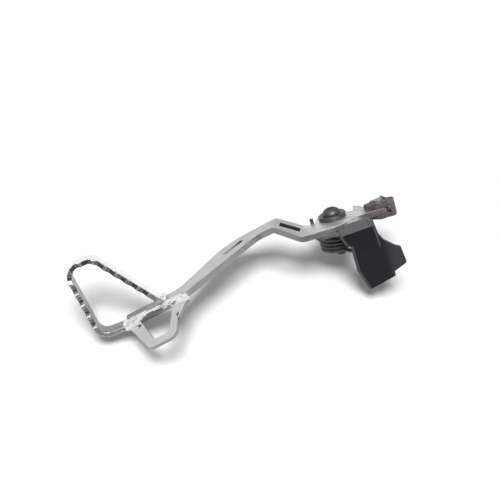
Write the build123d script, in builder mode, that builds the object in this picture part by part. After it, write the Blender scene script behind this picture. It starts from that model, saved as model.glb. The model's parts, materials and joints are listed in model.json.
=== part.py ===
from build123d import *
from math import atan2, cos, degrees, radians, sin, sqrt, tan
import os

# Rear brake pedal of a motorbike, in millimetres.
# Every piece is drawn in the lever's own frame: X runs forward to the toe, Y is up on the
# bike and Z is the pivot axis, outwards, counted from the arm's outer face at the pivot.
# At the end each piece is turned into the pose in which the pedal lies on a table, with the
# origin on the pivot axis at the thrust washer's inner face, where the frame of the bike begins.
lying_turn = (-32.9, -16.3, 172.4)

# Clearances
turning_gap = 0.05
fixed_gap = 0.1
side_gap = 0.3
edge_chamfer = 0.5
spring_gap = 0.3

# Arm: one pressed plate, stepped outwards in front of the pivot and inwards behind it
plate_t = 4.5
bend_r = 6.0
eye_r = 13.5
rear_bend_x = -13.5
rear_set_run = 8.0
rear_set = 1.5
front_bend_x = 21.5
front_set_run = 19.5
front_set = 11.5
front_lean = 14.8
shank_low_y = 4.5
knee_low = (84.0, shank_low_y)
knee_high = (55.0, 23.2)
shoulder = (21.0, 29.5)
heel = (-10.0, 21.5)
neck = (-21.0, 5.5)
stop_tab_front = (-15.5, -19.0)
stop_tab_rear = (-22.0, -16.5)
elbow_low = (115.0, 56.5)
tip_low_y = 55.0
tip_high_y = 77.0
tip_x = 155.0
elbow_high = (109.0, tip_high_y)

# Slots in the arm
shank_slot_x = 30.6
shank_slot_y = 16.2
shank_slot_length = 13.5
shank_slot_width = 7.5
shank_slot_corner = 1.6
knee_slot_x = 75.5
knee_slot_y = 23.8
knee_slot_length = 18.5
knee_slot_width = 5.5
knee_slot_turn = 40.0

# Rear lug and clevis
lug_x = -36.0
lug_y = -5.5
lug_r = 7.5
pin_r = 4.0
pin_head_r = 5.2
pin_head_t = 1.2
pin_neck_r = 2.9
pin_cap_r = 3.8
pin_cap_t = 0.7
ear_t = 3.0
fork_width = 14.0
fork_nose = 14.2
fork_radii = [4.0, 4.0, 3.0, 4.0, 4.0]
fork_base_t = 3.5
fork_throat_gap = 0.5
rod_thread_r = 3.0
clevis_washer_r = 6.6
clevis_washer_t = 0.6
clip_length = 10.0
clip_width = 11.2
clip_corner_r = 0.8
clip_t = 0.8
clip_tab_rise = 1.5
clip_turn = 25.0

# Pivot stack
bolt_r = 4.5
bolt_head_r = 7.0
bolt_head_t = 4.4
bolt_top_r = 3.6
bolt_rim_t = 0.9
bolt_dome_r = 5.6
bolt_socket_flat = 5.0
bolt_socket_depth = 2.6
bolt_free_length = 6.0
bolt_thread_r = 3.85
bolt_end_chamfer = 0.8
bolt_hole_gap = 0.2
washer_r = 10.5
washer_t = 2.8
sleeve_r = 6.0
bush_wall = 2.0
boss_wall = 2.4
boss_length = 17.0
thrust_washer_r = 10.0
thrust_washer_t = 2.0
boss_weld_leg = 2.2

# Return spring: a left-hand torsion coil round the boss
wire_r = 1.4
wire_sides = 10
coil_r = 13.2
coil_pitch = 3.0
coil_whole_turns = 3
coil_start_turn = 90.0
coil_weld_gap = 5.2
hook_x = 15.6
hook_rise = 3.4
hook_bend_r = 3.5
rest_leg_start = 5.0
rest_leg_length = 20.0
rest_leg_slope = 24.0
rest_leg_bend_r = 6.0

# Toe hoop: a strip bent in its own plane, which leans by hoop_lean from the arm's Y
hoop_lean = 15.0
hoop_reach = 16.1
hoop_rise = 4.6
hoop_drop = 3.98
hoop_strip_t = 3.2
hoop_strip_width = 13.0
hoop_seat_run = 4.5
hoop_seat_shift = 0.5
hoop_low_front = (3.3, 0.4)
hoop_high_front = (10.6, 56.8)
hoop_high_back = (-10.6, 56.8)
hoop_back_lean = 51.7
hoop_bite = 2.2
hoop_radii = [3.0, 9.0, 10.0, 8.0]
tooth_r = 4.2
tooth_depth = 2.2
tooth_pitch = 9.3
tooth_count = 12
tooth_start = 29.0

# Step loop: a flat U whose legs stand on the arm's upper inner edge
loop_lean = 33.0
loop_back = 27.0
loop_t = 3.0
loop_root = -1.3
loop_front_leg = (26.0, 15.6)
loop_rear_leg = (-26.0, -13.0)
loop_end_y = 25.2
loop_band = 5.8
loop_front_end_x = 10.2
loop_rear_end_x = -13.2
loop_inner_front_x = 5.8
loop_inner_rear_x = -7.0
loop_waist_x = -14.2
loop_waist_y = 14.0
loop_radii = [7.0, 8.0, 12.0]
loop_opening_r = 5.0
weld_r = 2.5
weld_over = 0.8
bead_y = -0.55
bead_z = 2.5

# Spring guard: a moulded plastic shield on two screws
guard_t = 2.6
guard_lean = 3.1
guard_edge_gap = 0.2
guard_band = 7.0
guard_band_slope = 1.4
guard_bevel = 2.2
guard_bevel_t = 1.0
guard_ridge_top = (-27.3, -4.9)
guard_ridge_foot = (-30.3, -21.1)
guard_ridge_width = 1.2
guard_ridge_t = 0.6
flange_t = 2.6
flange_rear_x = -13.0
flange_front_x = 12.0
flange_low_y = 15.6
screw_xs = (-4.0, 6.5)
screw_y = 18.8
screw_r = 2.0
screw_bite = 3.5
screw_head_r = 3.4
screw_head_t = 2.0

# Values that follow from the ones above
lean_slope = tan(radians(front_lean))
slant_t = plate_t / cos(radians(front_lean))
front_top_x = front_bend_x + front_set_run
bush_r = sleeve_r + turning_gap + bush_wall
boss_bore_r = bush_r + fixed_gap / 2
boss_r = boss_bore_r + boss_wall
boss_end_z = -plate_t - boss_length
sleeve_top_z = side_gap
sleeve_end_z = boss_end_z - side_gap
washer_top_z = sleeve_top_z + washer_t
seat_z = sleeve_end_z - thrust_washer_t
bolt_end_z = seat_z - bolt_free_length
lug_top_z = -rear_set
lug_low_z = lug_top_z - plate_t
fork_top_z = lug_top_z + side_gap + ear_t
fork_low_z = lug_low_z - side_gap - ear_t
clip_low_z = fork_top_z + clevis_washer_t
clip_top_z = clip_low_z + clip_t
weld_low_z = -plate_t - boss_weld_leg
coil_top_z = weld_low_z - coil_weld_gap - wire_r
hook_y = shank_low_y - wire_r - spring_gap
tip_shear = tan(radians(hoop_lean))
tip_low_x = tip_x + (tip_high_y - tip_low_y) * tip_shear
loop_x = tip_x - loop_back


def front_face_z(x):
    """Height of the arm's outer face in front of the step."""
    return front_set - (x - front_top_x) * lean_slope


hoop_at = (tip_x + hoop_reach, tip_high_y + hoop_rise, front_face_z(tip_x) - hoop_drop)

# Pedal arm: the bent ribbon, cut to the side outline
ribbon_end_x = tip_low_x + plate_t
ribbon_points = [
    (lug_x - lug_r - plate_t, -rear_set),
    (rear_bend_x - rear_set_run, -rear_set),
    (rear_bend_x, 0),
    (front_bend_x, 0),
    (front_top_x, front_set),
    (ribbon_end_x, front_face_z(ribbon_end_x)),
]
arm_corners = [
    (lug_x, lug_y - lug_r),
    (stop_tab_rear[0], lug_y - lug_r),
    stop_tab_rear,
    stop_tab_front,
    (stop_tab_front[0], lug_y),
    (0, 0),
    (eye_r * cos(radians(45)), shank_low_y),
    knee_low,
    elbow_low,
    (tip_low_x, tip_low_y),
    (tip_x, tip_high_y),
    elbow_high,
    knee_high,
    shoulder,
    heel,
    neck,
    (lug_x, lug_y + lug_r),
]
arm_radii = [0.1, 0.5, 0.8, 0.8, 2.0, 0.1, 0.1, 30.0, 12.0, 0.8, 0.8, 15.0, 10.0, 25.0, 12.0, 9.0, 0.1]
with BuildPart() as pedal_arm:
    with BuildSketch(Plane.XZ):
        with BuildLine():
            outer_face = FilletPolyline(*ribbon_points, radius=bend_r)
            offset(outer_face, amount=plate_t, side=Side.RIGHT)
        make_face()
    extrude(amount=tip_high_y + plate_t, both=True)
    with BuildSketch():
        with BuildLine():
            FilletPolyline(*arm_corners, radius=arm_radii, close=True)
        make_face()
        Circle(eye_r)
        with Locations((lug_x, lug_y)):
            Circle(lug_r)
            Circle(pin_r + turning_gap, mode=Mode.SUBTRACT)
        Circle(boss_bore_r, mode=Mode.SUBTRACT)
        with Locations((hook_x, hook_y)):
            Circle(wire_r + spring_gap, mode=Mode.SUBTRACT)
        with Locations((shank_slot_x, shank_slot_y)):
            RectangleRounded(shank_slot_length, shank_slot_width, shank_slot_corner, mode=Mode.SUBTRACT)
        with Locations(Location((knee_slot_x, knee_slot_y, 0), (0, 0, knee_slot_turn))):
            SlotOverall(knee_slot_length, knee_slot_width, mode=Mode.SUBTRACT)
    extrude(amount=tip_low_x, both=True, mode=Mode.INTERSECT)
    with BuildSketch(Plane.XY.offset(-plate_t)):
        with Locations(*[(x, screw_y) for x in screw_xs]):
            Circle(screw_r)
    extrude(amount=screw_bite, mode=Mode.SUBTRACT)

# Toe hoop: the strip starts square on the arm's end and lands on the arm's outer face
hoop_cos = cos(radians(hoop_lean))
hoop_sin = sin(radians(hoop_lean))
hoop_plane = Plane(origin=hoop_at, x_dir=(hoop_cos, hoop_sin, 0), z_dir=(hoop_sin, -hoop_cos, 0))
hoop_seat_x = (tip_x - hoop_at[0]) * hoop_cos + (tip_high_y - hoop_at[1]) * hoop_sin
hoop_seat_z = front_face_z(tip_x) - slant_t / 2 - hoop_at[2] - hoop_seat_shift
back_cos = cos(radians(hoop_back_lean))
back_sin = sin(radians(hoop_back_lean))
face_drop = lean_slope * hoop_cos
back_start_rise = hoop_high_back[1] + hoop_at[2] - front_face_z(hoop_at[0] + hoop_high_back[0] * hoop_cos)
back_run = back_start_rise / (back_sin + face_drop * back_cos) + hoop_bite
hoop_back_end = (hoop_high_back[0] - back_run * back_cos, hoop_high_back[1] - back_run * back_sin)
hoop_points = [
    (hoop_seat_x, hoop_seat_z),
    (hoop_seat_x + hoop_seat_run, hoop_seat_z),
    hoop_low_front,
    hoop_high_front,
    hoop_high_back,
    hoop_back_end,
]
with BuildPart() as toe_hoop:
    with BuildLine(hoop_plane) as strip_line:
        FilletPolyline(*hoop_points, radius=hoop_radii)
    with BuildSketch(hoop_plane):
        with BuildLine():
            strip_middle = FilletPolyline(*hoop_points, radius=hoop_radii)
        trace(strip_middle, line_width=hoop_strip_t)
    extrude(amount=hoop_strip_width)
    strip_wire = strip_line.wires()[0]
    rim_up = hoop_plane.z_dir * -1
    for tooth in range(tooth_count):
        along = (tooth_start + tooth * tooth_pitch) / strip_wire.length
        at = strip_wire.position_at(along)
        run = strip_wire.tangent_at(along)
        with BuildSketch(Plane(origin=at, x_dir=run, z_dir=run.cross(rim_up))):
            with Locations((0, tooth_r - tooth_depth)):
                Circle(tooth_r)
        extrude(amount=hoop_strip_t, both=True, mode=Mode.SUBTRACT)
    add(pedal_arm.part, mode=Mode.SUBTRACT)

# Step loop: a flat plate U, fitted to the arm's inner corner
loop_cos = cos(radians(loop_lean))
loop_sin = sin(radians(loop_lean))
run_cos = cos(radians(front_lean))
run_sin = sin(radians(front_lean))
loop_plane = Plane(
    origin=(loop_x, tip_high_y, front_face_z(loop_x) - slant_t),
    x_dir=(run_cos, 0, -run_sin),
    z_dir=(run_sin * loop_cos, loop_sin, run_cos * loop_cos),
)
loop_outline = [
    (loop_front_leg[0], loop_root),
    (loop_front_end_x, loop_end_y),
    (loop_rear_end_x, loop_end_y),
    (loop_waist_x, loop_waist_y),
    (loop_rear_leg[0], loop_root),
]
loop_opening = [
    (loop_front_leg[1], loop_root),
    (loop_inner_front_x, loop_end_y - loop_band),
    (loop_inner_rear_x, loop_end_y - loop_band),
    (loop_rear_leg[1], loop_root),
]
with BuildPart() as step_loop:
    with BuildSketch(loop_plane):
        with BuildLine():
            FilletPolyline(*loop_outline, radius=loop_radii)
            Line(loop_outline[-1], loop_outline[0])
        make_face()
        with BuildLine():
            FilletPolyline(*loop_opening, radius=loop_opening_r)
            Line(loop_opening[-1], loop_opening[0])
        make_face(mode=Mode.SUBTRACT)
    extrude(amount=loop_t / 2, both=True)
    add(pedal_arm.part, mode=Mode.SUBTRACT)

# Weld beads of the step loop: a round bead in the corner over each leg
with BuildPart() as loop_welds:
    for leg_out, leg_in in (loop_front_leg, loop_rear_leg):
        bead_start = loop_plane.from_local_coords((min(leg_out, leg_in) - weld_over, bead_y, bead_z))
        with BuildSketch(Plane(origin=bead_start, x_dir=loop_plane.y_dir, z_dir=loop_plane.x_dir)):
            Circle(weld_r)
        extrude(amount=abs(leg_out - leg_in) + 2 * weld_over)
    add(pedal_arm.part, mode=Mode.SUBTRACT)
    add(step_loop.part, mode=Mode.SUBTRACT)
    add(toe_hoop.part, mode=Mode.SUBTRACT)

# Weld beads of the hoop: one where the back run lands, one over the butt joint
landing_x = hoop_back_end[0] + hoop_bite * back_cos
landing_z = hoop_back_end[1] + hoop_bite * back_sin
with BuildPart() as hoop_welds:
    with BuildSketch(hoop_plane.offset(weld_over)):
        with Locations((landing_x - hoop_strip_t / 2, landing_z + hoop_strip_t / 2 - weld_over)):
            Circle(weld_r)
        with Locations((hoop_seat_x, hoop_seat_z + hoop_strip_t / 2 - weld_over)):
            Circle(weld_r)
    extrude(amount=hoop_strip_width - 2 * weld_over)
    add(pedal_arm.part, mode=Mode.SUBTRACT)
    add(toe_hoop.part, mode=Mode.SUBTRACT)
    add(loop_welds.part, mode=Mode.SUBTRACT)

# Pivot boss, welded to the arm's inner face
with BuildPart() as pivot_boss:
    with BuildSketch(Plane.XY.offset(boss_end_z)):
        Circle(boss_r)
        Circle(boss_bore_r, mode=Mode.SUBTRACT)
    extrude(amount=boss_length)

with BuildPart() as boss_weld:
    with BuildSketch(Plane.XZ):
        with BuildLine():
            Polyline((boss_r, weld_low_z), (boss_r, -plate_t), (boss_r + boss_weld_leg, -plate_t), close=True)
        make_face()
    revolve(axis=Axis.Z)

# Bush in the boss and the sleeve that it turns on
with BuildPart() as pivot_bush:
    with BuildSketch(Plane.XY.offset(boss_end_z)):
        Circle(bush_r)
        Circle(sleeve_r + turning_gap, mode=Mode.SUBTRACT)
    extrude(amount=-boss_end_z)

with BuildPart() as pivot_sleeve:
    with BuildSketch(Plane.XY.offset(sleeve_end_z)):
        Circle(sleeve_r)
        Circle(bolt_r + bolt_hole_gap, mode=Mode.SUBTRACT)
    extrude(amount=sleeve_top_z - sleeve_end_z)

with BuildPart() as pivot_washer:
    with BuildSketch(Plane.XY.offset(sleeve_top_z)):
        Circle(washer_r)
        Circle(bolt_r + bolt_hole_gap, mode=Mode.SUBTRACT)
    extrude(amount=washer_t)
    chamfer(pivot_washer.edges().group_by(Axis.Z)[-1].sort_by(SortBy.RADIUS)[-1], edge_chamfer)

with BuildPart() as thrust_washer:
    with BuildSketch(Plane.XY.offset(sleeve_end_z - thrust_washer_t)):
        Circle(thrust_washer_r)
        Circle(bolt_r + bolt_hole_gap, mode=Mode.SUBTRACT)
    extrude(amount=thrust_washer_t)

# Pivot bolt: a domed button head with a hex socket
bolt_top_z = washer_top_z + bolt_head_t
with BuildPart() as pivot_bolt:
    with BuildSketch(Plane.XZ):
        with BuildLine():
            Polyline((bolt_top_r, bolt_top_z), (0, bolt_top_z), (0, bolt_end_z))
            Polyline(
                (0, bolt_end_z),
                (bolt_thread_r - bolt_end_chamfer, bolt_end_z),
                (bolt_thread_r, bolt_end_z + bolt_end_chamfer),
                (bolt_thread_r, seat_z),
                (bolt_r, seat_z),
                (bolt_r, washer_top_z),
                (bolt_head_r, washer_top_z),
                (bolt_head_r, washer_top_z + bolt_rim_t),
            )
            RadiusArc((bolt_head_r, washer_top_z + bolt_rim_t), (bolt_top_r, bolt_top_z), -bolt_dome_r)
        make_face()
    revolve(axis=Axis.Z)
    with BuildSketch(Plane.XY.offset(bolt_top_z)):
        RegularPolygon(bolt_socket_flat / 2, 6, major_radius=False)
    extrude(amount=-bolt_socket_depth, mode=Mode.SUBTRACT)

# Return spring: drawn from its start at turn zero, then turned to where its rest leg leaves
hook_span = sqrt(hook_x**2 + hook_y**2 - coil_r**2)
hook_turn = degrees(atan2(hook_y, hook_x) + atan2(hook_span, coil_r))
coil_turns = coil_whole_turns + (coil_start_turn - hook_turn) / 360
coil_low_z = coil_top_z - coil_turns * coil_pitch
with BuildPart() as coil:
    with BuildLine() as coil_line:
        Helix(coil_pitch, coil_pitch * coil_turns, coil_r, center=(0, 0, coil_low_z), lefthand=True)
    coil_start = coil_line.line @ 0
    coil_end = coil_line.line @ 1
    start_run = coil_line.line % 0
    end_run = coil_line.line % 1
    start_out = Vector(coil_start.X, coil_start.Y, 0)
    end_out = Vector(coil_end.X, coil_end.Y, 0)
    with BuildSketch(Plane(origin=coil_start, x_dir=start_out, z_dir=start_run)):
        RegularPolygon(wire_r, wire_sides)
    sweep(path=coil_line.line, is_frenet=True)
    rest_foot = coil_start - start_run * rest_leg_start
    rest_end = rest_foot - start_run * rest_leg_length * cos(radians(rest_leg_slope))
    rest_end -= Vector(0, 0, rest_leg_length * sin(radians(rest_leg_slope)))
    with BuildLine() as rest_line:
        FilletPolyline(coil_start, rest_foot, rest_end, radius=rest_leg_bend_r)
    with BuildSketch(Plane(origin=coil_start, x_dir=start_out, z_dir=start_run * -1)):
        RegularPolygon(wire_r, wire_sides)
    sweep(path=rest_line.line)
    hook_foot = coil_end + end_run * hook_span
    with BuildLine() as hook_line:
        FilletPolyline(coil_end, hook_foot, (hook_foot.X, hook_foot.Y, hook_rise), radius=hook_bend_r)
    with BuildSketch(Plane(origin=coil_end, x_dir=end_out, z_dir=end_run)):
        RegularPolygon(wire_r, wire_sides)
    sweep(path=hook_line.line)

with BuildPart() as return_spring:
    add(coil.part, rotation=(0, 0, coil_start_turn))

# Clevis: fork, headed pin, washer and spring clip
fork_back_x = lug_x - lug_r - fork_throat_gap - fork_base_t
fork_throat_x = fork_back_x + fork_base_t
fork_half = fork_width / 2
fork_corners = [
    (fork_back_x, lug_y - fork_half),
    (lug_x + fork_half / 2, lug_y - fork_half),
    (lug_x + fork_nose, lug_y),
    (lug_x + fork_half / 2, lug_y + fork_half),
    (fork_back_x, lug_y + fork_half),
]
with BuildPart() as clevis_fork:
    with BuildSketch(Plane.XY.offset(fork_low_z)):
        with BuildLine():
            FilletPolyline(*fork_corners, radius=fork_radii, close=True)
        make_face()
        with Locations((lug_x, lug_y)):
            Circle(pin_r + turning_gap, mode=Mode.SUBTRACT)
    extrude(amount=fork_top_z - fork_low_z)
    with BuildSketch(Plane.XZ.offset(-lug_y)):
        with Locations((fork_throat_x, lug_low_z - side_gap)):
            Rectangle(fork_width * 3, plate_t + 2 * side_gap, align=Align.MIN)
    extrude(amount=fork_width, both=True, mode=Mode.SUBTRACT)
    with BuildSketch(Plane(origin=(fork_back_x, lug_y, lug_low_z + plate_t / 2), z_dir=(1, 0, 0))):
        Circle(rod_thread_r)
    extrude(amount=fork_base_t, mode=Mode.SUBTRACT)

with BuildPart() as clevis_pin:
    with BuildSketch(Plane.XY.offset(fork_low_z - pin_head_t)):
        with Locations((lug_x, lug_y)):
            Circle(pin_head_r)
    extrude(amount=pin_head_t)
    with BuildSketch(Plane.XY.offset(fork_low_z)):
        with Locations((lug_x, lug_y)):
            Circle(pin_r)
    extrude(amount=clip_low_z - fork_low_z)
    with BuildSketch(Plane.XY.offset(clip_low_z)):
        with Locations((lug_x, lug_y)):
            Circle(pin_neck_r)
    extrude(amount=clip_t + fixed_gap)
    with BuildSketch(Plane.XY.offset(clip_top_z + fixed_gap)):
        with Locations((lug_x, lug_y)):
            Circle(pin_cap_r)
    extrude(amount=pin_cap_t)
    chamfer(clevis_pin.edges().group_by(Axis.Z)[-1], edge_chamfer)

with BuildPart() as clevis_washer:
    with BuildSketch(Plane.XY.offset(fork_top_z)):
        with Locations((lug_x, lug_y)):
            Circle(clevis_washer_r)
            Circle(pin_r + fixed_gap, mode=Mode.SUBTRACT)
    extrude(amount=clevis_washer_t)

clip_slot_r = pin_neck_r + fixed_gap
clip_run = (cos(radians(clip_turn)), sin(radians(clip_turn)), 0)
with BuildPart() as clevis_clip:
    with BuildSketch(Plane(origin=(lug_x, lug_y, clip_low_z), x_dir=clip_run, z_dir=(0, 0, 1))):
        RectangleRounded(clip_length, clip_width, clip_corner_r)
        Circle(clip_slot_r, mode=Mode.SUBTRACT)
        Rectangle(clip_length, 2 * clip_slot_r, align=(Align.MIN, Align.CENTER), mode=Mode.SUBTRACT)
    extrude(amount=clip_t)
    with BuildSketch(Plane(origin=(lug_x, lug_y, clip_low_z), x_dir=clip_run, z_dir=(0, 0, 1))):
        with Locations((-clip_length / 2 + clip_t / 2, 0)):
            Rectangle(clip_t, clip_width - 2 * clip_corner_r)
    extrude(amount=clip_t + clip_tab_rise)

# Spring guard: a shield beside the coil, with a flange under the arm
guard_corners = [
    (-4.0, -1.2),
    (-26.6, 1.7),
    (-30.6, -1.4),
    (-31.8, -12.2),
    (-34.5, -17.8),
    (-42.0, -24.4),
    (-45.3, -25.8),
    (-47.0, -38.6),
    (-45.3, -40.1),
    (-36.7, -44.3),
    (-37.1, -47.8),
    (-15.8, -55.0),
    (-10.2, -37.9),
    (-10.1, -16.9),
    (-7.2, -17.0),
    (-4.5, -9.8),
]
guard_front_x = guard_corners[0][0]
heel_rise = (shoulder[1] - heel[1]) / (shoulder[0] - heel[0])
edge_y = heel[1] + (guard_front_x - heel[0]) * heel_rise
guard_y = edge_y + guard_edge_gap + plate_t * tan(radians(guard_lean)) + guard_t
guard_plane = Plane(
    origin=(0, guard_y, 0),
    x_dir=(1, 0, 0),
    z_dir=(0, -cos(radians(guard_lean)), sin(radians(guard_lean))),
)
guard_radii = [0.6, 2.0, 1.5, 6.0, 6.0, 1.2, 2.0, 1.0, 1.0, 0.8, 1.0, 1.2, 4.0, 1.0, 0.8, 2.0]
flange_top_z = -plate_t
guard_slopes = [
    (guard_corners[0], guard_corners[1], guard_band, guard_band_slope),
    (guard_corners[11], guard_corners[12], guard_bevel, guard_bevel_t),
    (guard_corners[12], guard_corners[13], guard_bevel, guard_bevel_t),
    (guard_corners[14], guard_corners[15], guard_bevel, guard_bevel_t),
    (guard_corners[15], guard_corners[0], guard_bevel, guard_bevel_t),
]
with BuildPart() as spring_guard:
    with BuildSketch(guard_plane):
        with BuildLine():
            FilletPolyline(*guard_corners, radius=guard_radii, close=True)
        make_face()
    extrude(amount=guard_t)
    for start, end, width, depth in guard_slopes:
        slope_at = guard_plane.from_local_coords(start)
        slope_run = guard_plane.from_local_coords(end) - slope_at
        with BuildSketch(Plane(origin=slope_at, x_dir=guard_plane.z_dir, z_dir=slope_run)):
            with BuildLine():
                Polyline(
                    (0, -width),
                    (depth, 0),
                    (depth, width),
                    (-guard_t, width),
                    (-guard_t, -width),
                    close=True,
                )
            make_face()
        extrude(amount=slope_run.length, mode=Mode.SUBTRACT)
    with BuildSketch(guard_plane):
        with BuildLine():
            ridge = Line(guard_ridge_top, guard_ridge_foot)
        trace(ridge, line_width=guard_ridge_width)
    extrude(amount=-guard_ridge_t)
    with BuildSketch(Plane.XY.offset(flange_top_z - flange_t)):
        with Locations((flange_rear_x, flange_low_y)):
            Rectangle(flange_front_x - flange_rear_x, guard_y - guard_t / 2 - flange_low_y, align=Align.MIN)
        with Locations(*[(x, screw_y) for x in screw_xs]):
            Circle(screw_r + fixed_gap, mode=Mode.SUBTRACT)
    extrude(amount=flange_t)

with BuildPart() as guard_screws:
    with BuildSketch(Plane.XY.offset(flange_top_z - flange_t - screw_head_t)):
        with Locations(*[(x, screw_y) for x in screw_xs]):
            Circle(screw_head_r)
    extrude(amount=screw_head_t)
    with BuildSketch(Plane.XY.offset(flange_top_z - flange_t)):
        with Locations(*[(x, screw_y) for x in screw_xs]):
            Circle(screw_r)
    extrude(amount=flange_t + screw_bite - fixed_gap)

# Lay every piece down and write it
os.makedirs("parts", exist_ok=True)
pieces = {
    "pedal_arm": pedal_arm,
    "toe_hoop": toe_hoop,
    "hoop_welds": hoop_welds,
    "step_loop": step_loop,
    "loop_welds": loop_welds,
    "pivot_boss": pivot_boss,
    "boss_weld": boss_weld,
    "pivot_bush": pivot_bush,
    "pivot_sleeve": pivot_sleeve,
    "pivot_bolt": pivot_bolt,
    "pivot_washer": pivot_washer,
    "thrust_washer": thrust_washer,
    "return_spring": return_spring,
    "clevis_fork": clevis_fork,
    "clevis_pin": clevis_pin,
    "clevis_washer": clevis_washer,
    "clevis_clip": clevis_clip,
    "spring_guard": spring_guard,
    "guard_screws": guard_screws,
}
lying = Rotation(*lying_turn) * Pos(0, 0, -seat_z)
for name, piece in pieces.items():
    laid = lying * piece.part
    laid.label = name
    export_step(laid, f"parts/{name}.step")
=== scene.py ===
import json
import math

import bmesh
import bpy
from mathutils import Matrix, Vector, noise


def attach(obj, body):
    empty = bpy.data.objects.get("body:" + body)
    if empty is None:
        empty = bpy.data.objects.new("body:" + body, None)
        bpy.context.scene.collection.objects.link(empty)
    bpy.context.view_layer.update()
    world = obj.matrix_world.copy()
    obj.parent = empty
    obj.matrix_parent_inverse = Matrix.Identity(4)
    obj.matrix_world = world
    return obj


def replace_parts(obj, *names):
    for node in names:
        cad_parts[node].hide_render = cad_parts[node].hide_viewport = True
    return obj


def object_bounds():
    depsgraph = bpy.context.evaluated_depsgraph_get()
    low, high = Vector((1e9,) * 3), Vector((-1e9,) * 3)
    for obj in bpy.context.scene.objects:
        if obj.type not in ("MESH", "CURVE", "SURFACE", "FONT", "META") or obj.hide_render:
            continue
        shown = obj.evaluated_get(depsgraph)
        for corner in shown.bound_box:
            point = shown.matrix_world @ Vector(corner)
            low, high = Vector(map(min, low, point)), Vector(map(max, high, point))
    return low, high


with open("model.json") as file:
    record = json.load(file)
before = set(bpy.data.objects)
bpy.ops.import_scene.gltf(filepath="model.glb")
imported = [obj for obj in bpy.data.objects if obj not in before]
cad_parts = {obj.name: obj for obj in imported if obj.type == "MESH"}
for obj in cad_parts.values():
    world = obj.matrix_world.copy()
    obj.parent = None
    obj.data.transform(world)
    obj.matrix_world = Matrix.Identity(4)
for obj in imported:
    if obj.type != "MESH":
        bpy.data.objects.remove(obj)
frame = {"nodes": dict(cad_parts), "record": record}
cad_low, cad_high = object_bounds()
nodes = frame["nodes"]

# Directions and places of the pedal in the frame, in metres.
# The lever's own axes are forward to the toe, up on the bike and outwards along the pivot.
FORWARD = Vector((-0.9514, -0.0401, -0.3054))
UPWARD = Vector((-0.1269, -0.8524, 0.5072))
OUTWARD = Vector((-0.2807, 0.5213, 0.8059))
PLATE_OUT = 0.0238
MM_PER_METRE = 1000.0

# A mark is full at one place and fades until there is none at another.
# Arm: scratches, and worn edges with a painted highlight, by their distance from the pivot; painted shade on
# up-facing faces, rust, and grinding with a painted dark reflection, by their place forward
SCRATCHES_FULL = 0.018
SCRATCHES_NONE = 0.034
EDGE_HIGHLIGHT_FULL = 0.036
EDGE_HIGHLIGHT_NONE = 0.046
EDGE_HIGHLIGHT_REACH = 0.0010
UPWARD_SHADE_FULL = 0.030
UPWARD_SHADE_NONE = 0.075
RUST_NONE = -0.021
RUST_FULL = -0.029
GROUND_NONE = 0.117
GROUND_FULL = 0.131
RAGGED = 0.012

# Arm's slots: place forward, place upward, turn, half length and half width
SLOTS = [
    (0.0306, 0.0162, 0.0, 0.00695, 0.00390),
    (0.0755, 0.0238, math.radians(40.0), 0.00940, 0.00290),
]
# Painted shade in the slots: full up to the first place forward and gone by the second
SLOT_SHADE_FULL = 0.0690
SLOT_SHADE_NONE = 0.0775

# Step loop: the way its face looks, and its nicks as place forward, place upward and reach
LOOP_OUT = FORWARD * 0.2144 + UPWARD * 0.5446 + OUTWARD * 0.8109
NICKS = [
    (0.1104, 0.0882, 0.0030),
    (0.1120, 0.0852, 0.0028),
    (0.1436, 0.0801, 0.0030),
]
NICK_RAGGED = 0.004
NICK_SOFT = 0.0004

# Toe hoop: its toothed rim and its back run, which has a painted highlight at its top and on its outer face.
# The darkening over the teeth, the crests and the flanks are given as heights from the tops of the teeth.
HOOP_LEAN = math.radians(15.0)
RIM_UP = UPWARD * math.cos(HOOP_LEAN) - FORWARD * math.sin(HOOP_LEAN)
RIM_ALONG = FORWARD * math.cos(HOOP_LEAN) + UPWARD * math.sin(HOOP_LEAN)
RIM_AT = FORWARD * 0.1711 + UPWARD * 0.0816 + OUTWARD * (PLATE_OUT - 0.0226)
BACK_LEAN = math.radians(51.7)
BACK_IN = RIM_ALONG * math.sin(BACK_LEAN) - OUTWARD * math.cos(BACK_LEAN)
BACK_AT = RIM_AT - RIM_ALONG * 0.0106 + OUTWARD * 0.0568
TOP_HIGHLIGHT_NONE = BACK_AT.dot(OUTWARD) - 0.006
TOP_HIGHLIGHT_FULL = BACK_AT.dot(OUTWARD) - 0.002
FACE_HIGHLIGHT_NONE = -0.0009
FACE_HIGHLIGHT_FULL = -0.0013
TEETH_DARK_NONE = -0.0022
TEETH_DARK_FULL = -0.0004
TEETH_DARK_UNEVEN = 0.0022
CREST_NONE = -0.0001
CREST_FULL = 0.0006
CREST_UNEVEN = 0.0010
FLANK_NONE = -0.0022
FLANK_FULL = -0.0018
TEETH_START = PLATE_OUT - 0.0145
TEETH_SOFT = 0.001

# Guard: its rear wing, its lighter band and the ridge between face and wing
WING_START = -0.031
WING_END = -0.041
BAND_SLOPE = 0.128
BAND_NONE = PLATE_OUT - 0.0091
BAND_FULL = PLATE_OUT - 0.0084
RIDGE_AHEAD = -0.02962
RIDGE_SLOPE = 0.0763
RIDGE_HALF = 0.0012
RIDGE_CORE = 0.0002
RIDGE_NONE = -0.0235
RIDGE_FULL = -0.0195

# Rough weld beads: size of their mesh, height of their lumps, and lumps to the metre
BEAD_VOXEL = 0.00028
BEAD_LUMP = 0.00040
BEAD_SCALE = 380.0
BEAD_FINER = 2.3
BEAD_FINE_SHARE = 0.5

# Outer face of the bar at the arm's tip, in lever millimetres
BAR_TOP_X = 41.0
BAR_TOP_Z = 11.5
BAR_SLOPE = math.tan(math.radians(14.8))
BAR_SIDE_Y = 77.0

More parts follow.
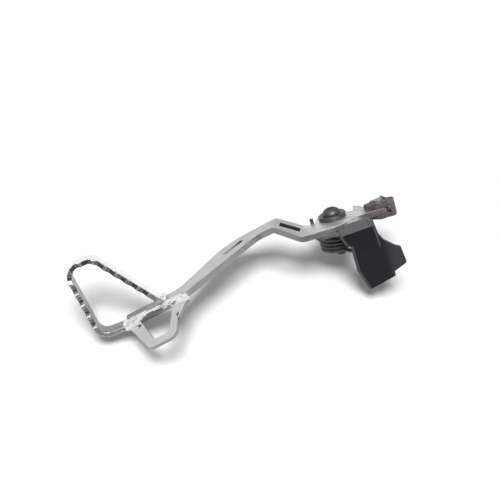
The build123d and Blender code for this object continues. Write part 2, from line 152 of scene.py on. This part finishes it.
# Weld smeared over the bar, in lever millimetres.
# Each smear has a start, an end and a reach, with places given as x and the way down from the bar's corner.
SMEAR_START = 107.0
SMEAR_END = 156.0
SMEAR_FACE = 16.0
SMEAR_SIDE = 5.0
SMEAR_CORNER = 1.6
SMEAR_STEP = 0.4
SMEAR_ROOT = 0.7
SMEAR_SINK = 0.3
SMEAR_TOP = 0.55
SMEAR_GAIN = 1.6
SMEAR_FOOT = 0.35
SMEAR_ROUGH = 0.4
SMEARS = [
    ((152.5, -3.5), (143.0, -3.5), 8.0),
    ((145.0, -4.0), (127.0, -1.5), 3.2),
    ((122.0, -2.5), (113.0, -2.5), 6.0),
]
# Lumps to the millimetre along and across the bar, and the noise's layer
ROUGH_LAYERS = [(0.24, 0.6, 2.0), (0.8, 0.9, 7.0)]

# Camera and light
CAMERA_AT = (-0.06914, -0.38080, 0.48229)
CAMERA_TILT = math.radians(38.0)
CAMERA_LENS = 57.6
CAMERA_SENSOR = 36.0
FLOOR_HALF = 6.0
FLOOR_WHITE = 0.93
FLOOR_GLOW = 0.05
SKY_LIGHT = 0.23
SKY_FRONT = 0.02
SKY_FADE_START = -0.35
SKY_FADE_END = -0.85
SUN_FROM = Vector((0.0, -0.14, 1.0))
SUN_ANGLE = math.radians(27.0)
SUN_STRENGTH = 2.75

# Colours, as linear red, green and blue
PAINT_DARK = (0.50, 0.50, 0.48)
PAINT_LIGHT = (0.60, 0.60, 0.58)
PAINT_BRUSHED = (0.70, 0.70, 0.68)
PAINT_SPECK = (0.30, 0.29, 0.27)
PAINT_SCRATCHED = (0.86, 0.86, 0.85)
PAINT_EDGE_HIGHLIGHT = (0.95, 0.95, 0.94)
PAINT_UPWARD_SHADE = (0.26, 0.255, 0.245)
SLOT_SHADE = (0.075, 0.068, 0.062)
RUST_LIGHT = (0.50, 0.44, 0.425)
RUST_DARK = (0.37, 0.30, 0.29)
GROUND_REFLECTION_DARK = (0.17, 0.165, 0.16)
GROUND_REFLECTION_LIGHT = (0.36, 0.355, 0.345)
LOOP_PALE = (0.86, 0.87, 0.86)
LOOP_SIDE_SHADE = (0.27, 0.27, 0.265)
LOOP_NICK = (0.07, 0.065, 0.06)
HOOP_DARK = (0.26, 0.26, 0.255)
HOOP_LIGHT = (0.40, 0.40, 0.39)
HOOP_HIGHLIGHT = (0.94, 0.94, 0.93)
HOOP_TEETH_DARK = (0.16, 0.155, 0.15)
HOOP_CREST_HIGHLIGHT = (0.88, 0.87, 0.85)
HOOP_FLANK_HIGHLIGHT = (0.97, 0.97, 0.96)
WELD_HOLLOW_SHADE = (0.40, 0.395, 0.39)
WELD_LUMP_HIGHLIGHT = (1.0, 1.0, 0.99)
WELD_DULL = (0.46, 0.46, 0.45)
WELD_STREAK = (0.10, 0.095, 0.09)
STEEL_DARK = (0.085, 0.085, 0.08)
STEEL_LIGHT = (0.15, 0.15, 0.145)
STEEL_RUBBED = (0.30, 0.29, 0.28)
CLIP_DARK = (0.26, 0.255, 0.245)
CLIP_LIGHT = (0.36, 0.355, 0.345)
WIRE_DARK = (0.055, 0.055, 0.052)
WIRE_LIGHT = (0.13, 0.13, 0.125)
IRON_DARK = (0.105, 0.084, 0.082)
IRON_LIGHT = (0.25, 0.195, 0.188)
IRON_RUST = (0.32, 0.24, 0.22)
BRONZE_DARK = (0.42, 0.28, 0.12)
BRONZE_LIGHT = (0.58, 0.42, 0.20)
PLASTIC_DARK = (0.008, 0.0085, 0.014)
PLASTIC_LIGHT = (0.013, 0.014, 0.021)
PLASTIC_WING_LIT = (0.050, 0.052, 0.054)
PLASTIC_RIDGE_HIGHLIGHT = (0.105, 0.11, 0.118)
PLASTIC_EDGE_HIGHLIGHT = (0.085, 0.088, 0.092)
BAND_DARK = (0.115, 0.12, 0.125)
BAND_LIGHT = (0.165, 0.17, 0.175)
WHITE = (1.0, 1.0, 1.0, 1.0)

# Shares used in the finishes
LOOP_PALENESS = 0.6
HOOP_METAL = 0.9
FLANK_METAL = 0.15
PLASTIC_SPECULAR = 0.32

# Shader nodes: the sockets of a mix node that carry colours, the values that a noise mostly takes,
# and how edges are rounded and told from flat faces
MIX_FIRST = 6
MIX_SECOND = 7
MIX_RESULT = 2
NOISE_LOW = 0.25
NOISE_HIGH = 0.75
EDGE_SAMPLES = 6
SOFT_EDGE = 0.0004
EDGE_NONE = 0.98
EDGE_FULL = 0.85


class Shader:
    """A material whose nodes are made by short calls."""

    def __init__(self, name):
        self.material = bpy.data.materials.new(name)
        self.material.use_nodes = True
        self.tree = self.material.node_tree
        self.bsdf = self.tree.nodes["Principled BSDF"]
        self.place = self.make("ShaderNodeTexCoord").outputs["Object"]

    def make(self, kind, **settings):
        """A new node with its settings."""
        node = self.tree.nodes.new(kind)
        for key, value in settings.items():
            setattr(node, key, value)
        return node

    def put(self, socket, value):
        """Link a socket to another one, or give it a plain value."""
        if isinstance(value, bpy.types.NodeSocket):
            self.tree.links.new(value, socket)
        else:
            socket.default_value = value

    def math(self, operation, a, b=0.0, c=0.0):
        node = self.make("ShaderNodeMath", operation=operation)
        for socket, value in zip(node.inputs, (a, b, c)):
            self.put(socket, value)
        return node.outputs[0]

    def times(self, a, b):
        return self.math("MULTIPLY", a, b)

    def dot(self, a, b):
        node = self.make("ShaderNodeVectorMath", operation="DOT_PRODUCT")
        self.put(node.inputs[0], a)
        self.put(node.inputs[1], b)
        return node.outputs["Value"]

    def along(self, direction):
        """Place along a direction, in metres."""
        return self.dot(self.place, direction)

    def flat_normal(self):
        """The normal of the face itself."""
        return self.make("ShaderNodeNewGeometry").outputs["True Normal"]

    def rounded_normal(self, radius):
        """The normal with the edges rounded off."""
        node = self.make("ShaderNodeBevel", samples=EDGE_SAMPLES)
        node.inputs["Radius"].default_value = radius
        return node.outputs[0]

    def facing(self, direction):
        """How far a face looks in a direction, from -1 to 1."""
        turn = self.make("ShaderNodeVectorTransform", vector_type="NORMAL")
        turn.convert_from = "WORLD"
        turn.convert_to = "OBJECT"
        self.put(turn.inputs[0], self.flat_normal())
        return self.dot(turn.outputs[0], direction)

    def noise(self, scale, detail=3.0, rough=0.55, place=None):
        """Noise with so many lumps to the metre."""
        node = self.make("ShaderNodeTexNoise")
        self.put(node.inputs["Vector"], place or self.place)
        node.inputs["Scale"].default_value = scale
        node.inputs["Detail"].default_value = detail
        node.inputs["Roughness"].default_value = rough
        return node.outputs["Fac"]

    def streaks(self, run, cross):
        """Noise with other scales along the lever and across it, as brushing and scratches have."""
        node = self.make("ShaderNodeCombineXYZ")
        for socket, axis, scale in zip(node.inputs, (FORWARD, UPWARD, OUTWARD), (run, cross, cross)):
            self.put(socket, self.times(self.along(axis), scale))
        return self.noise(scale=1.0, detail=4.0, rough=0.6, place=node.outputs[0])

    def fade(self, value, start, end):
        """0 before start and 1 after end, whichever of the two is the larger."""
        node = self.make("ShaderNodeMapRange", interpolation_type="SMOOTHSTEP")
        self.put(node.inputs["Value"], value)
        node.inputs["From Min"].default_value = start
        node.inputs["From Max"].default_value = end
        return node.outputs["Result"]

    def span(self, value, low, high):
        """A noise stretched to run from low to high."""
        node = self.make("ShaderNodeMapRange")
        self.put(node.inputs["Value"], value)
        node.inputs["From Min"].default_value = NOISE_LOW
        node.inputs["From Max"].default_value = NOISE_HIGH
        node.inputs["To Min"].default_value = low
        node.inputs["To Max"].default_value = high
        return node.outputs["Result"]

    def mix(self, share, a, b):
        """The first colour where the share is 0, and the second where it is 1."""
        node = self.make("ShaderNodeMix", data_type="RGBA")
        self.put(node.inputs[0], share)
        for index, colour in ((MIX_FIRST, a), (MIX_SECOND, b)):
            self.put(node.inputs[index], (*colour, 1.0) if isinstance(colour, tuple) else colour)
        return node.outputs[MIX_RESULT]

    def shades(self, value, dark, light):
        """Colour between two shades, by a noise."""
        return self.mix(self.span(value, 0.0, 1.0), dark, light)

    def cover(self, colour, over, where, strength=1.0):
        """The colour with another one laid over it where the mask is 1."""
        share = where if strength == 1.0 else self.times(where, strength)
        return self.mix(share, colour, over)

    def edge_mask(self, reach):
        """1 along the edges, 0 on flat faces."""
        agreement = self.dot(self.rounded_normal(reach), self.flat_normal())
        return self.fade(agreement, EDGE_NONE, EDGE_FULL)

    def bump(self, height, strength, distance, edge=SOFT_EDGE):
        """Bump over softly rounded edges."""
        node = self.make("ShaderNodeBump")
        node.inputs["Strength"].default_value = strength
        node.inputs["Distance"].default_value = distance
        self.put(node.inputs["Height"], height)
        self.put(node.inputs["Normal"], self.rounded_normal(edge))
        self.put(self.bsdf.inputs["Normal"], node.outputs[0])

    def finish(self, colour, rough, metal):
        """The material with its colour, roughness and metal set."""
        self.put(self.bsdf.inputs["Base Color"], colour)
        self.put(self.bsdf.inputs["Roughness"], rough)
        self.put(self.bsdf.inputs["Metallic"], metal)
        return self.material


def axis_distance(look, ahead=0.0, above=0.0):
    """Distance from a line along the pivot's direction, by default the pivot's own axis."""
    run = look.math("SUBTRACT", look.along(FORWARD), ahead)
    rise = look.math("SUBTRACT", look.along(UPWARD), above)
    return look.math("SQRT", look.math("ADD", look.times(run, run), look.times(rise, rise)))


def slot_walls(look):
    """1 on the walls of the arm's two slots, 0 elsewhere."""
    walls = 0.0
    for ahead, above, turn, half_length, half_width in SLOTS:
        run = FORWARD * math.cos(turn) + UPWARD * math.sin(turn)
        cross = UPWARD * math.cos(turn) - FORWARD * math.sin(turn)
        centre = FORWARD * ahead + UPWARD * above
        lengthwise = look.math("COMPARE", look.along(run), centre.dot(run), half_length)
        sideways = look.math("COMPARE", look.along(cross), centre.dot(cross), half_width)
        walls = look.math("MAXIMUM", walls, look.times(lengthwise, sideways))
    return walls


def silver_paint(look):
    """Satin silver with faint brushing and a few dark specks: its colour and its bump."""
    brush = look.streaks(run=60.0, cross=900.0)
    colour = look.shades(look.noise(45.0, detail=5.0), PAINT_DARK, PAINT_LIGHT)
    colour = look.cover(colour, PAINT_BRUSHED, where=look.fade(brush, 0.5, 0.75), strength=0.25)
    specks = look.fade(look.noise(700.0, detail=2.0), 0.66, 0.74)
    colour = look.cover(colour, PAINT_SPECK, where=specks, strength=0.5)
    look.bump(look.math("ADD", brush, look.noise(1500.0, detail=2.0)), strength=0.12, distance=0.0002)
    return colour


def arm_finish():
    """Silver paint: scratched round the pivot with its worn edges painted light as a highlight, painted
    shade on its up-facing faces near the pivot and in the slot nearer the pivot, rusty at the lug, and
    ground bare at the tip with a painted dark reflection.
    """
    look = Shader("arm_finish")
    colour = silver_paint(look)
    from_pivot = axis_distance(look)
    ahead = look.along(FORWARD)
    worn = look.fade(from_pivot, SCRATCHES_NONE, SCRATCHES_FULL)
    scratches = look.fade(look.streaks(run=70.0, cross=900.0), 0.44, 0.54)
    colour = look.cover(colour, PAINT_SCRATCHED, where=look.times(worn, scratches))
    # Worn edges near the pivot, painted near white as an edge highlight
    edge_highlight = look.times(look.edge_mask(EDGE_HIGHLIGHT_REACH), look.fade(look.noise(330.0, detail=4.0), 0.44, 0.54))
    edge_highlight = look.times(edge_highlight, look.fade(from_pivot, EDGE_HIGHLIGHT_NONE, EDGE_HIGHLIGHT_FULL))
    colour = look.cover(colour, PAINT_EDGE_HIGHLIGHT, where=edge_highlight)
    # Painted shade on the faces turned upward on the bike, near the pivot
    upward_shade = look.times(look.fade(look.facing(UPWARD), 0.5, 0.8), look.fade(ahead, UPWARD_SHADE_NONE, UPWARD_SHADE_FULL))
    colour = look.cover(colour, PAINT_UPWARD_SHADE, where=upward_shade, strength=0.5)
    # The ragged place is up to RAGGED further on, so half of that keeps an edge where it is named
    ragged = look.math("ADD", ahead, look.times(look.noise(45.0, detail=5.0), RAGGED))
    shift = RAGGED / 2
    rust = look.mix(look.fade(look.noise(300.0, detail=5.0), 0.35, 0.65), RUST_LIGHT, RUST_DARK)
    colour = look.cover(colour, rust, where=look.fade(ragged, RUST_NONE + shift, RUST_FULL + shift))
    # Bare ground metal at the tip with grinding streaks, painted dark as a painted reflection of dark
    # surroundings
    marks = look.fade(look.streaks(run=110.0, cross=700.0), 0.36, 0.62)
    ground_and_reflection = look.mix(marks, GROUND_REFLECTION_DARK, GROUND_REFLECTION_LIGHT)
    colour = look.cover(colour, ground_and_reflection, where=look.fade(ragged, GROUND_NONE + shift, GROUND_FULL + shift))
    # Painted shade on the walls of the slot nearer the pivot, fading out over the other
    slot_shade = look.times(slot_walls(look), look.fade(ahead, SLOT_SHADE_NONE, SLOT_SHADE_FULL))
    colour = look.cover(colour, SLOT_SHADE, where=slot_shade)
    return look.finish(colour, rough=look.span(look.noise(120.0, detail=4.0), 0.34, 0.50), metal=0.8)


def loop_finish():
    """The same silver on the step loop, paler, with painted shade on its cut sides and dark nicks."""
    look = Shader("loop_finish")
    colour = look.mix(LOOP_PALENESS, silver_paint(look), LOOP_PALE)
    # Painted shade on the plate's sides, the faces turned away from its outer face
    edges = look.fade(look.math("ABSOLUTE", look.facing(LOOP_OUT)), 0.8, 0.4)
    colour = look.cover(colour, LOOP_SIDE_SHADE, where=edges, strength=0.8)
    ragged = look.times(look.noise(900.0), NICK_RAGGED)
    for ahead, above, reach in NICKS:
        away = look.math("ADD", axis_distance(look, ahead, above), ragged)
        colour = look.cover(colour, LOOP_NICK, where=look.fade(away, reach + NICK_SOFT, reach))
    return look.finish(colour, rough=look.span(look.noise(120.0, detail=4.0), 0.36, 0.50), metal=0.35)


def hoop_steel():
    """Bare steel strip: grey faces, a painted highlight on the back, darker over the teeth, crests worn
    bright with a painted highlight, and a painted highlight on the flanks.
    """
    look = Shader("hoop_steel")
    outward = look.along(OUTWARD)
    facing_out = look.facing(OUTWARD)
    colour = look.shades(look.noise(90.0, detail=4.0), HOOP_DARK, HOOP_LIGHT)
    # Painted highlight on the back run's top and outer face
    top_highlight = look.times(look.fade(outward, TOP_HIGHLIGHT_NONE, TOP_HIGHLIGHT_FULL), look.fade(facing_out, 0.1, 0.5))
    inward = look.math("SUBTRACT", look.along(BACK_IN), BACK_AT.dot(BACK_IN))
    painted_highlight = look.math("MAXIMUM", top_highlight, look.fade(inward, FACE_HIGHLIGHT_NONE, FACE_HIGHLIGHT_FULL))
    colour = look.cover(colour, HOOP_HIGHLIGHT, where=painted_highlight)
    above = look.math("SUBTRACT", look.along(RIM_UP), RIM_AT.dot(RIM_UP))
    # Darker over the teeth, up towards their tops
    uneven = look.math("ADD", above, look.times(look.noise(260.0, detail=4.0), TEETH_DARK_UNEVEN))
    teeth_dark = look.fade(uneven, TEETH_DARK_NONE, TEETH_DARK_FULL)
    colour = look.cover(colour, HOOP_TEETH_DARK, where=teeth_dark, strength=0.85)
    # Tooth crests worn bright, with a painted highlight on them
    uneven = look.math("ADD", above, look.times(look.noise(420.0), CREST_UNEVEN))
    colour = look.cover(colour, HOOP_CREST_HIGHLIGHT, where=look.fade(uneven, CREST_NONE, CREST_FULL))
    # Painted highlight on the tooth flanks that face outward
    lit_flanks = look.times(look.fade(facing_out, 0.62, 0.72), look.fade(above, FLANK_NONE, FLANK_FULL))
    lit_flanks = look.times(lit_flanks, look.fade(outward, TEETH_START - TEETH_SOFT, TEETH_START))
    colour = look.cover(colour, HOOP_FLANK_HIGHLIGHT, where=lit_flanks)
    metal = look.math("SUBTRACT", HOOP_METAL, look.times(lit_flanks, HOOP_METAL - FLANK_METAL))
    look.bump(look.noise(900.0, detail=4.0), strength=0.2, distance=0.0003, edge=0.0007)
    return look.finish(colour, rough=look.span(look.noise(250.0), 0.24, 0.42), metal=metal)


def weld_metal():
    """Rough bead of pale metal, with a painted highlight on its lumps and painted shade in its hollows, dull
    in places and with dark streaks.
    """
    look = Shader("weld_metal")
    lumps = look.streaks(run=110.0, cross=330.0)
    # Painted highlight on the bump's lumps and painted shade in its hollows
    colour = look.mix(look.fade(lumps, 0.30, 0.44), WELD_HOLLOW_SHADE, WELD_LUMP_HIGHLIGHT)
    colour = look.cover(colour, WELD_DULL, where=look.fade(look.noise(170.0), 0.48, 0.62), strength=0.45)
    # Dark streaks
    dark_streaks = look.fade(look.streaks(run=170.0, cross=520.0), 0.41, 0.36)
    colour = look.cover(colour, WELD_STREAK, where=dark_streaks, strength=0.85)
    look.bump(lumps, strength=0.35, distance=0.0005)
    return look.finish(colour, rough=look.span(lumps, 0.36, 0.22), metal=0.25)


def plain_steel():
    """Dull grey bolt, washers, sleeve and screws."""
    look = Shader("plain_steel")
    blotches = look.noise(220.0, detail=5.0)
    colour = look.shades(blotches, STEEL_DARK, STEEL_LIGHT)
    colour = look.cover(colour, STEEL_RUBBED, where=look.fade(look.noise(900.0), 0.62, 0.72))
    look.bump(look.noise(1100.0), strength=0.2, distance=0.0003)
    return look.finish(colour, rough=look.span(blotches, 0.38, 0.55), metal=0.6)


def clip_steel():
    """Plated clip and pin, lighter than the bolt."""
    look = Shader("clip_steel")
    blotches = look.noise(260.0, detail=4.0)
    colour = look.shades(blotches, CLIP_DARK, CLIP_LIGHT)
    look.bump(look.noise(1200.0), strength=0.15, distance=0.0002, edge=0.0002)
    return look.finish(colour, rough=look.span(blotches, 0.35, 0.5), metal=0.7)


def spring_steel():
    """Dark oiled spring wire."""
    look = Shader("spring_steel")
    blotches = look.noise(260.0, detail=4.0)
    colour = look.shades(blotches, WIRE_DARK, WIRE_LIGHT)
    look.bump(look.noise(900.0), strength=0.25, distance=0.0003, edge=0.0008)
    return look.finish(colour, rough=look.span(blotches, 0.35, 0.55), metal=0.55)


def clevis_iron():
    """Brown iron with a thin dusty rust."""
    look = Shader("clevis_iron")
    blotches = look.noise(160.0, detail=6.0, rough=0.65)
    colour = look.shades(blotches, IRON_DARK, IRON_LIGHT)
    colour = look.cover(colour, IRON_RUST, where=look.fade(look.noise(700.0, detail=4.0), 0.6, 0.7))
    look.bump(blotches, strength=0.45, distance=0.0005)
    return look.finish(colour, rough=look.span(blotches, 0.75, 0.55), metal=0.3)


def bush_bronze():
    """Turned bronze."""
    look = Shader("bush_bronze")
    rings = look.streaks(run=900.0, cross=60.0)
    colour = look.shades(rings, BRONZE_DARK, BRONZE_LIGHT)
    look.bump(rings, strength=0.1, distance=0.0002)
    return look.finish(colour, rough=look.span(rings, 0.3, 0.45), metal=0.9)


def guard_plastic():
    """Black moulded plastic, lighter on its sloped band, with painted light on its rear wing and a painted
    highlight on its ridge and its edge.
    """
    look = Shader("guard_plastic")
    blotches = look.noise(70.0, detail=4.0)
    ahead = look.along(FORWARD)
    outward = look.along(OUTWARD)
    colour = look.shades(blotches, PLASTIC_DARK, PLASTIC_LIGHT)
    # Painted light on the rear wing, which turns towards the light
    lit_wing = look.times(look.fade(ahead, WING_START, WING_END), look.span(blotches, 0.7, 1.0))
    colour = look.cover(colour, PLASTIC_WING_LIT, where=lit_wing)
    # Lighter over the sloped band
    sloped = look.math("MULTIPLY_ADD", ahead, BAND_SLOPE, outward)
    band_tone = look.shades(look.noise(500.0, detail=4.0), BAND_DARK, BAND_LIGHT)
    colour = look.cover(colour, band_tone, where=look.fade(sloped, BAND_NONE, BAND_FULL))
    # Painted highlight along the ridge between face and wing
    deep = look.math("SUBTRACT", outward, PLATE_OUT)
    aside = look.math("SUBTRACT", ahead, look.math("MULTIPLY_ADD", deep, RIDGE_SLOPE, RIDGE_AHEAD))
    ridge_highlight = look.fade(look.math("ABSOLUTE", aside), RIDGE_HALF, RIDGE_CORE)
    ridge_highlight = look.times(ridge_highlight, look.fade(deep, RIDGE_NONE, RIDGE_FULL))
    colour = look.cover(colour, PLASTIC_RIDGE_HIGHLIGHT, where=ridge_highlight, strength=0.8)
    # Painted highlight on the bevelled faces that turn forward, along the left edge
    edge = look.fade(look.facing(FORWARD), 0.12, 0.45)
    colour = look.cover(colour, PLASTIC_EDGE_HIGHLIGHT, where=edge, strength=0.8)
    look.bump(look.noise(2200.0, detail=2.0), strength=0.12, distance=0.0002, edge=0.0006)
    look.bsdf.inputs["Specular IOR Level"].default_value = PLASTIC_SPECULAR
    return look.finish(colour, rough=look.span(blotches, 0.36, 0.48), metal=0.0)


# Finishes: by the record's material slot, apart from three nodes that have their own
plated = clip_steel()
own_finishes = {
    "step_loop": loop_finish(),
    "clevis_clip": plated,
    "clevis_pin": plated,
}
finishes = {
    "arm_finish": arm_finish(),
    "hoop_steel": hoop_steel(),
    "weld_metal": weld_metal(),
    "plain_steel": plain_steel(),
    "spring_steel": spring_steel(),
    "clevis_iron": clevis_iron(),
    "bush_bronze": bush_bronze(),
    "guard_plastic": guard_plastic(),
}
for part in frame["record"]["subparts"]:
    mesh = nodes[part["node"]].data
    mesh.materials.clear()
    mesh.materials.append(own_finishes.get(part["node"], finishes[part["material_slot"]]))


def weld_piece(name, mesh):
    """A new piece of weld metal on the pedal."""
    mesh.materials.clear()
    mesh.materials.append(finishes["weld_metal"])
    for polygon in mesh.polygons:
        polygon.use_smooth = True
    piece = bpy.data.objects.new(name, mesh)
    bpy.context.scene.collection.objects.link(piece)
    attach(piece, "pedal")
    return piece


def lumpy_bead(node):
    """A rough bead in place of a plain one: the same form with lumps on it."""
    plain = bpy.data.objects.new(node + "_plain", nodes[node].data.copy())
    bpy.context.scene.collection.objects.link(plain)
    remesh = plain.modifiers.new("remesh", "REMESH")
    remesh.mode = "VOXEL"
    remesh.voxel_size = BEAD_VOXEL
    graph = bpy.context.evaluated_depsgraph_get()
    mesh = bpy.data.meshes.new_from_object(plain.evaluated_get(graph))
    bpy.data.objects.remove(plain)
    moves = []
    for vertex in mesh.vertices:
        coarse = noise.noise(vertex.co * BEAD_SCALE)
        fine = noise.noise(vertex.co * BEAD_SCALE * BEAD_FINER)
        moves.append(vertex.co + vertex.normal * (coarse + BEAD_FINE_SHARE * fine) * BEAD_LUMP)
    for vertex, place in zip(mesh.vertices, moves):
        vertex.co = place
    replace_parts(weld_piece(node + "_bead", mesh), node)


def lever(x, y, z):
    """A place in the lever's own frame, in millimetres, as a place in the scene."""
    return (FORWARD * x + UPWARD * y + OUTWARD * z) / MM_PER_METRE + OUTWARD * PLATE_OUT


def smear_height(x, down):
    """Height of the smeared weld over the bar, in millimetres. Down is measured from the bar's corner."""
    cover = 0.0
    for start, end, reach in SMEARS:
        at = Vector((x, down)) - Vector(start)
        run = Vector(end) - Vector(start)
        share = max(0.0, min(1.0, at.dot(run) / run.length_squared))
        cover = max(cover, 1.0 - (at - run * share).length / reach)
    rough = 0.0
    for lengthwise, crosswise, layer in ROUGH_LAYERS:
        rough += noise.noise((x * lengthwise, down * crosswise, layer))
    return max(-SMEAR_SINK, min(SMEAR_TOP, cover * SMEAR_GAIN - SMEAR_FOOT) + SMEAR_ROUGH * rough)


def smear_place(x, down, rise):
    """A place over the bar's outer face, round its corner or over its side."""
    turn = math.pi / 2 * max(0.0, min(1.0, 0.5 + down / (2 * SMEAR_CORNER)))
    y = BAR_SIDE_Y + min(down, 0.0) + rise * math.sin(turn)
    z = BAR_TOP_Z - (x - BAR_TOP_X) * BAR_SLOPE - max(down, 0.0) + rise * math.cos(turn)
    return lever(x, y, z)


def weld_smear(name):
    """Weld metal dragged over the end of the bar and its corner, rooted inside it."""
    shape = bmesh.new()
    columns = int((SMEAR_END - SMEAR_START) / SMEAR_STEP)
    rows = int((SMEAR_FACE + SMEAR_SIDE) / SMEAR_STEP)
    tops = []
    roots = []
    for i in range(columns + 1):
        for j in range(rows + 1):
            x = SMEAR_START + i * SMEAR_STEP
            down = j * SMEAR_STEP - SMEAR_FACE
            tops.append(shape.verts.new(smear_place(x, down, smear_height(x, down))))
            roots.append(shape.verts.new(smear_place(x, down, -SMEAR_ROOT)))
    for i in range(columns):
        for j in range(rows):
            first = i * (rows + 1) + j
            corners = [first, first + rows + 1, first + rows + 2, first + 1]
            shape.faces.new([tops[corner] for corner in corners])
            shape.faces.new([roots[corner] for corner in reversed(corners)])
    bmesh.ops.bridge_loops(shape, edges=[edge for edge in shape.edges if edge.is_boundary])
    bmesh.ops.recalc_face_normals(shape, faces=shape.faces)
    mesh = bpy.data.meshes.new(name)
    shape.to_mesh(mesh)
    shape.free()
    weld_piece(name, mesh)


lumpy_bead("hoop_welds")
lumpy_bead("loop_welds")
weld_smear("tip_weld_smear")

# Floor: white, so that only the shadow shows on it
bpy.ops.mesh.primitive_plane_add(size=2 * FLOOR_HALF, location=(0, 0, cad_low[2]))
floor = bpy.context.object
floor.name = "floor"
paper = bpy.data.materials.new("floor")
paper.use_nodes = True
paper_settings = {
    "Base Color": (FLOOR_WHITE, FLOOR_WHITE, FLOOR_WHITE, 1.0),
    "Roughness": 1.0,
    "Specular IOR Level": 0.0,
    "Emission Color": WHITE,
    "Emission Strength": FLOOR_GLOW,
}
for socket_name, setting in paper_settings.items():
    paper.node_tree.nodes["Principled BSDF"].inputs[socket_name].default_value = setting
floor.data.materials.append(paper)

# Light: a soft sky that is dark low in front, and one broad lamp overhead
world = bpy.data.worlds.new("studio")
bpy.context.scene.world = world
world.use_nodes = True
sky_nodes = world.node_tree.nodes
sky_links = world.node_tree.links
direction = sky_nodes.new("ShaderNodeSeparateXYZ")
sky_links.new(sky_nodes.new("ShaderNodeTexCoord").outputs["Generated"], direction.inputs[0])
from_front = sky_nodes.new("ShaderNodeMapRange")
from_front.interpolation_type = "SMOOTHSTEP"
from_front.inputs["From Min"].default_value = SKY_FADE_START
from_front.inputs["From Max"].default_value = SKY_FADE_END
from_front.inputs["To Min"].default_value = SKY_LIGHT
from_front.inputs["To Max"].default_value = SKY_FRONT
sky_links.new(direction.outputs["Y"], from_front.inputs["Value"])
sky_links.new(from_front.outputs["Result"], sky_nodes["Background"].inputs["Strength"])
sky_nodes["Background"].inputs["Color"].default_value = WHITE
lamp = bpy.data.lights.new("overhead", "SUN")
lamp.angle = SUN_ANGLE
lamp.energy = SUN_STRENGTH
overhead = bpy.data.objects.new("overhead", lamp)
overhead.rotation_euler = SUN_FROM.to_track_quat("Z", "Y").to_euler()
bpy.context.scene.collection.objects.link(overhead)

# Camera at the photograph's place
camera = bpy.data.cameras.new("camera")
camera.lens = CAMERA_LENS
camera.sensor_width = CAMERA_SENSOR
camera_object = bpy.data.objects.new("camera", camera)
camera_object.location = CAMERA_AT
camera_object.rotation_euler = (CAMERA_TILT, 0.0, 0.0)
bpy.context.scene.collection.objects.link(camera_object)
bpy.context.scene.camera = camera_object
bpy.context.scene.view_settings.view_transform = "Standard"
